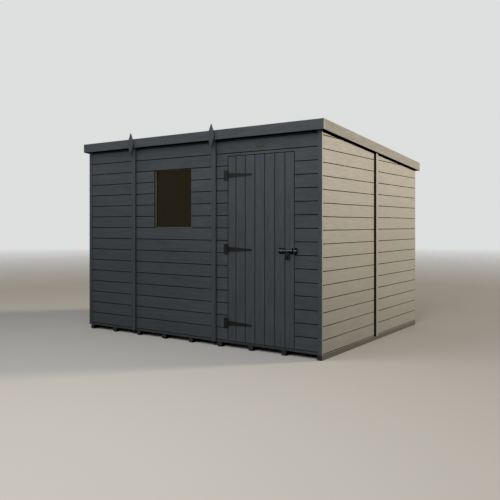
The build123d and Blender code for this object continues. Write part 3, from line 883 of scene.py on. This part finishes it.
def make_hardware():
    """Screws, the bolt's lugs and worn collar, the keep's loop, and the hasp's ring and eye."""
    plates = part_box("hinge_plates")
    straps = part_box("hinge_straps")
    half = HINGE_PLATE / 2
    on_wall, on_door = new_bmesh(), new_bmesh()
    for z in (plates[0].z + half, (plates[0].z + plates[1].z) / 2, plates[1].z - half):
        for share in PLATE_SCREWS:
            place = (plates[0].x + 13 * MM, plate_face, z + share * HINGE_PLATE)
            add_head(on_wall, place, AHEAD, *HINGE_SCREW)
        for x, dz in STRAP_SCREWS:
            place = (straps[0].x + x * MM, strap_face, z + dz * MM)
            add_head(on_door, place, AHEAD, *HINGE_SCREW)
    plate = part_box("bolt_plate")
    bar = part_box("bolt_bar")
    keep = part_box("bolt_keep")
    axis_y, axis_z = (bar[0].y + bar[1].y) / 2, (bar[0].z + bar[1].z) / 2

    def on_loop(face):
        return face.calc_center_median().y < strap_face

    def on_knuckle(face):
        middle = face.calc_center_median()
        return math.hypot(middle.y - axis_y, middle.z - axis_z) < 11 * MM

    eased("bolt_plate", bolt_black, 0.5 * MM, "door", (bolt_dark, on_loop), True)
    eased("hasp_tab", hasp_brown, 0.5 * MM, "hasp", (bolt_dark, on_knuckle), True)
    left, right = plate[0].x, plate[1].x
    lugs = ((left + 4 * MM, left + 28 * MM), (left + 39 * MM, left + 58 * MM),
            (right - 18 * MM, right - 1 * MM))
    for x0, x1 in lugs:
        add_lug(on_door, x0, x1, axis_z + 8 * MM, axis_z + 25 * MM)
    plate_screws = (left + 9 * MM, left + 62 * MM, right - 30 * MM)
    for x in plate_screws:
        add_head(on_door, (x, plate_face, plate[0].z + 6 * MM), AHEAD, *BOLT_SCREW)
    add_lug(on_wall, keep[0].x, keep[1].x, axis_z - 24 * MM, axis_z + 26 * MM)
    ear_right, ear_low, ear_high = keep[0].x + 22 * MM, axis_z - 42 * MM, axis_z - 20 * MM
    add_lug(on_wall, keep[0].x, ear_right, ear_low, ear_high)
    ear_middle = ((keep[0].x + ear_right) / 2, strap_face, (ear_low + ear_high) / 2)
    add_head(on_wall, ear_middle, AHEAD, *KEEP_SCREW)
    finish_piece(on_wall, "wall_screws", [screw_black, bolt_black], "root", ["bolt_keep"])
    finish_piece(on_door, "door_screws", [screw_black, bolt_black], "door")

    bm = new_bmesh()
    add_tube(bm, keep[0].x, keep[1].x, axis_y, axis_z, *LOOP_RADII)
    finish_piece(bm, "keep_loop", [bolt_dark], "root", ["bolt_keep"])
    bm = new_bmesh()
    worn_left, worn_right, painted_right = left + 35 * MM, left + 44 * MM, left + 55 * MM
    add_tube(bm, worn_left, worn_right, axis_y, axis_z, *COLLAR_RADII)
    for face in add_tube(bm, worn_right, painted_right, axis_y, axis_z, *COLLAR_RADII):
        face.material_index = 1
    finish_piece(bm, "bolt_collar", [worn_steel, bolt_black], "door")

    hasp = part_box("hasp_tab")
    hole = (hasp[0].x + 22 * MM, axis_y - 2 * MM, hasp[0].z + 16.5 * MM)
    ring = [(7, -1.0), (7, 1.6), (8, 2.4), (15, 2.4), (16.5, 1.4), (16.5, -1.0)]
    eye = [(4, -1.0), (4, 1.2), (4.6, 1.8), (6.4, 1.8), (7.2, 1.2), (7.2, -1.0)]
    for name, sections, material in (("hasp_ring", ring, bolt_black), ("hasp_eye", eye, nail_grey)):
        rings = [oval_ring(hole, AHEAD, r * MM, r * MM, h * MM, TUBE_SEGMENTS) for r, h in sections]
        bm = new_bmesh()
        lofted(bm, rings, closed=True, edges=(1, 3))
        finish_piece(bm, name, [material], "hasp")


def add_lug(bm, x0, x1, z0, z1):
    """A flat steel tongue with clipped corners on the front's face."""
    clip = 3 * MM
    back = wall_face - 0.1 * MM
    outline = [(x0, z0), (x1, z0), (x1, z1 - clip), (x1 - clip, z1), (x0 + clip, z1), (x0, z1 - clip)]
    for face in prism(bm, outline, lambda x, z: (x, strap_face, z), lambda x, z: (x, back, z)):
        face.material_index = 1


def add_tube(bm, x0, x1, y, z, inner, outer):
    """A tube along X with eased ends."""
    ease = 1 * MM
    sections = [(x0, inner), (x0, outer - ease), (x0 + ease, outer)]
    sections += [(x1 - ease, outer), (x1, outer - ease), (x1, inner)]
    rings = [oval_ring((x, y, z), (1, 0, 0), r, r, 0.0, TUBE_SEGMENTS) for x, r in sections]
    return lofted(bm, rings, closed=True, edges=(1, 3))


def make_oval_plate():
    """Cast oval with a raised rim and a plain, faintly domed field, on two small screws."""
    low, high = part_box("oval_plate")
    centre = ((low.x + high.x) / 2, high.y, (low.z + high.z) / 2)
    half_x, half_z, depth = (high.x - low.x) / 2, (high.z - low.z) / 2, high.y - low.y
    sections = [(0.0, 0.0), (0.0, 0.72), (0.6, 0.92), (1.6, 1.0), (3.2, 1.0), (4.4, 0.88)]
    sections += [(5.2, 0.55), (12, 0.62), (18, 0.66)]
    rings = []
    for inset, share in sections:
        radii = half_x - inset * MM, half_z - inset * MM
        rings.append(oval_ring(centre, AHEAD, *radii, depth * share, OVAL_SEGMENTS))
    bm = new_bmesh()
    lofted(bm, rings, edges=(1, 2, 4, 5, 6, 7))
    finish_piece(bm, "oval_plate_cast", [dull_brass], "root", ["oval_plate"], True)
    bm = new_bmesh()
    for side in (-1, 1):
        place = (centre[0] + side * (half_x - 9 * MM), centre[1] - depth * 0.6, centre[2])
        add_head(bm, place, AHEAD, *OVAL_SCREW)
    finish_piece(bm, "oval_plate_screws", [screw_black], "root")


# Floor and roof

def make_floor():
    low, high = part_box("floor_deck")
    rng = random.Random("floor")
    bm = new_bmesh()
    y = low.y + FLOOR_EDGING
    end = high.y - FLOOR_EDGING
    ease = FLOOR_EASE
    while y < end - NARROWEST:
        y1 = min(y + FLOOR_BOARD, end)
        outline = [(y + ease, high.z), (y1 - ease, high.z), (y1, high.z - ease), (y1, low.z), (y, low.z)]
        outline.append((y, high.z - ease))
        # Painted shade on the plank's underside, side 3
        prism(bm, outline, at_x(low.x), at_x(high.x), rng.random(), [3])
        y = y1
    finish_piece(bm, "floor_planks", [floor_timber, painted_shade_dark], "root", ["floor_deck"])
    bm = new_bmesh()
    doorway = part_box("front_wall_over_door")
    near, far = (low.y, low.y + FLOOR_EDGING), (high.y - FLOOR_EDGING, high.y)
    for (y0, y1), x0, x1 in ((near, low.x, doorway[0].x), (near, doorway[0].x, doorway[1].x),
                             (near, doorway[1].x, high.x), (far, low.x, high.x)):
        outline = [(y0, low.z), (y1, low.z), (y1, high.z - ease), (y1 - ease, high.z), (y0 + ease, high.z)]
        outline.append((y0, high.z - ease))
        # Painted shade on the edging's underside, side 0
        faces = prism(bm, outline, at_x(x0), at_x(x1), rng.random(), [0])
        if x0 == doorway[0].x:
            for face in faces:
                face.material_index = 2
    materials = [edging_grey, painted_shade_dark, threshold_grey]
    finish_piece(bm, "floor_edging", materials, "root", ["floor_deck"])


def deck_height(y):
    """Underside of the roof boards at a place along Y."""
    return roof_deck[0].z + roof_fall * (roof_deck[1].y - y)


def make_roof():
    low, high = roof_deck
    rng = random.Random("roof")
    bm = new_bmesh()
    ease = ROOF_EASE
    y = low.y
    while y < high.y - NARROWEST:
        y1 = min(y + ROOF_BOARD, high.y)
        near, far = deck_height(y), deck_height(y1)
        outline = [(y, near + ease), (y + ease, deck_height(y + ease)), (y1 - ease, deck_height(y1 - ease))]
        outline += [(y1, far + ease), (y1, far + DECK_THICKNESS), (y, near + DECK_THICKNESS)]
        prism(bm, outline, at_x(low.x), at_x(high.x), rng.random())
        y = y1
    finish_piece(bm, "roof_boards", [roof_timber], "root", ["roof_deck"])
    make_felt(low, high)


def make_felt(low, high):
    """Felt strips from the roof's high edge down, each lapped over the next, with a nailed edge."""
    rng = random.Random("felt")
    length = (high.y - low.y) / FELT_STRIPS
    across, down = FELT_GRID
    for strip in range(FELT_STRIPS):
        y_low = low.y + strip * length
        y_high = min(y_low + length + FELT_LAP, high.y)
        bm = new_bmesh()
        top, bottom = [], []
        for row in range(down + 1):
            y = y_low + (y_high - y_low) * row / down
            over_lap = strip < FELT_STRIPS - 1 and y > y_low + length - FELT_LAP * 0.2
            lift = FELT_SHEET if over_lap else 0.0
            base = deck_height(y) + DECK_THICKNESS + lift
            line_top, line_bottom = [], []
            for column in range(across + 1):
                x = low.x + (high.x - low.x) * column / across
                ripple = 0.5 * MM * math.sin(7 * x + 3 * strip) * math.sin(5 * y) + rng.uniform(0, 0.25 * MM)
                edge = column in (0, across) or row in (0, down)
                rise = 0 if edge else ripple + 0.5 * MM
                line_top.append(bm.verts.new((x, y, base + FELT_SHEET + rise)))
                line_bottom.append(bm.verts.new((x, y, base)))
            top.append(line_top)
            bottom.append(line_bottom)
        for row in range(down):
            for column in range(across):
                for grid in (top, bottom):
                    near, far = grid[row], grid[row + 1]
                    bm.faces.new((near[column], near[column + 1], far[column + 1], far[column]))
        for column in range(across):
            for row in (0, down):
                over, under = top[row], bottom[row]
                bm.faces.new((over[column], over[column + 1], under[column + 1], under[column]))
        for row in range(down):
            for column in (0, across):
                near, far = top[row][column], top[row + 1][column]
                bm.faces.new((near, far, bottom[row + 1][column], bottom[row][column]))
        set_layer(bm, bm.faces, "tone", rng.random())
        finish_piece(bm, f"felt_strip_{strip + 1}", [felt], "root", ["roof_felt"], True)
    make_felt_nails(low, high, length)


def make_felt_nails(low, high, length):
    """Galvanised clout heads along each lap and round the edge."""
    bm = new_bmesh()
    laps = [low.y + strip * length + 22 * MM for strip in range(1, FELT_STRIPS)]
    rows = [low.y + CLOUT_EDGE] + laps + [high.y - CLOUT_EDGE]
    places = [(x, y) for y in rows for x in evenly(low.x, high.x, 0.03, 38)]
    columns = (low.x + CLOUT_EDGE, high.x - CLOUT_EDGE)
    places += [(x, y) for x in columns for y in evenly(low.y, high.y, 0.06, 30)]
    for x, y in places:
        add_head(bm, (x, y, deck_height(y) + DECK_THICKNESS + 3.0 * MM), UPWARD, *CLOUT)
    finish_piece(bm, "felt_nails", [galvanised], "root")


# Stage, lamps and camera

FLOOR_COLOUR = srgb(186, 183, 178)
FLOOR_REACH = 60.0
FLOOR_FADE = (6.0, 26.0)  # where the fade starts and ends
BACKDROP_COLOUR = srgb(222, 223, 223)
AMBIENT_COLOUR = (0.97, 0.99, 1.0, 1.0)
AMBIENT_LEVEL = 0.27
KEY_COLOUR = (1.0, 0.84, 0.60)
PANEL_COLOUR = (0.98, 0.99, 1.0)


def make_stage():
    """A level floor that fades into the backdrop far out."""
    mesh = bpy.data.meshes.new("studio_floor")
    bm = new_bmesh()
    corners = ((-1, -1), (1, -1), (1, 1), (-1, 1))
    bm.faces.new([bm.verts.new((x * FLOOR_REACH, y * FLOOR_REACH, 0.0)) for x, y in corners])
    bm.to_mesh(mesh)
    bm.free()
    floor = put_in_scene("studio_floor", mesh)
    material, tree, shader = new_material("studio_floor")
    fill(tree, shader, {"Base Color": FLOOR_COLOUR, "Roughness": 0.9, "Specular IOR Level": 0.1})
    distance = add(tree, "VectorMath", {0: add(tree, "TexCoord").outputs["Object"]}, operation="LENGTH")
    fade = spread(tree, distance.outputs["Value"], 0.0, 1.0, *FLOOR_FADE)
    clear = add(tree, "BsdfTransparent").outputs["BSDF"]
    mixed = add(tree, "MixShader", {"Fac": fade, 1: shader.outputs["BSDF"], 2: clear})
    fill(tree, tree.nodes["Material Output"], {"Surface": mixed.outputs["Shader"]})
    mesh.materials.append(material)


def make_world():
    world = bpy.data.worlds.new("studio")
    bpy.context.scene.world = world
    world.use_nodes = True
    tree = world.node_tree
    ambient = tree.nodes["Background"]
    fill(tree, ambient, {"Color": AMBIENT_COLOUR, "Strength": AMBIENT_LEVEL})
    backdrop = add(tree, "Background", {"Color": BACKDROP_COLOUR, "Strength": 1.0})
    path = add(tree, "LightPath")
    seen = maths(tree, "MAXIMUM", path.outputs["Is Camera Ray"], path.outputs["Is Glossy Ray"])
    seen = maths(tree, "MAXIMUM", seen, path.outputs["Is Transmission Ray"])
    mixed = add(tree, "MixShader", {"Fac": seen, 1: ambient.outputs["Background"],
                                    2: backdrop.outputs["Background"]})
    fill(tree, tree.nodes["World Output"], {"Surface": mixed.outputs["Shader"]})


def make_lamp(name, kind, place, toward, strength, colour):
    """A lamp at a place. Its light comes from the direction toward."""
    lamp = put_in_scene(name, bpy.data.lights.new(name, kind))
    lamp.data.energy = strength
    lamp.data.color = colour
    lamp.location = place
    lamp.rotation_euler = toward.to_track_quat("Z", "Y").to_euler()
    return lamp


def make_key(azimuth, elevation, strength, angle):
    """A distant soft lamp. azimuth turns from +X towards +Y, in degrees."""
    a, e = math.radians(azimuth), math.radians(elevation)
    toward = Vector((math.cos(e) * math.cos(a), math.cos(e) * math.sin(a), math.sin(e)))
    lamp = make_lamp("key", "SUN", toward * 8, toward, strength, KEY_COLOUR)
    lamp.data.angle = math.radians(angle)


def make_panel(name, place, target, size, strength):
    """A broad soft lamp, near enough that its light falls off along the front."""
    lamp = make_lamp(name, "AREA", place, Vector(place) - Vector(target), strength, PANEL_COLOUR)
    lamp.data.shape = "DISK"
    lamp.data.size = size
    lamp.visible_camera = False


def make_camera():
    data = bpy.data.cameras.new("camera")
    data.lens = CAMERA_LENS
    data.sensor_width = 36.0
    data.shift_y = CAMERA_SHIFT
    data.clip_end = 200.0
    camera = put_in_scene("camera", data)
    camera.location = CAMERA_PLACE
    camera.rotation_euler = (math.radians(90), 0, math.radians(CAMERA_TURN))
    bpy.context.scene.camera = camera


make_camera()
make_walls()
make_trims()
make_frame()
make_door()
make_hardware()
make_oval_plate()
make_floor()
make_roof()
for node, material in (("hinge_plates", hinge_black), ("hinge_straps", hinge_black),
                       ("bolt_bar", bolt_dark), ("window_pane", pane_glass)):
    nodes[node].data.materials.clear()
    nodes[node].data.materials.append(material)
make_stage()
make_world()
make_key(azimuth=47, elevation=8, strength=5.4, angle=11)
make_panel("right_panel", place=(2.2, -6.2, 4.4), target=(0.9, -1.2, 1.2), size=3.0, strength=182)
make_panel("left_panel", place=(-0.6, -3.2, 4.8), target=(0.0, -1.2, 1.6), size=2.5, strength=70)
bpy.context.scene.view_settings.view_transform = "Standard"
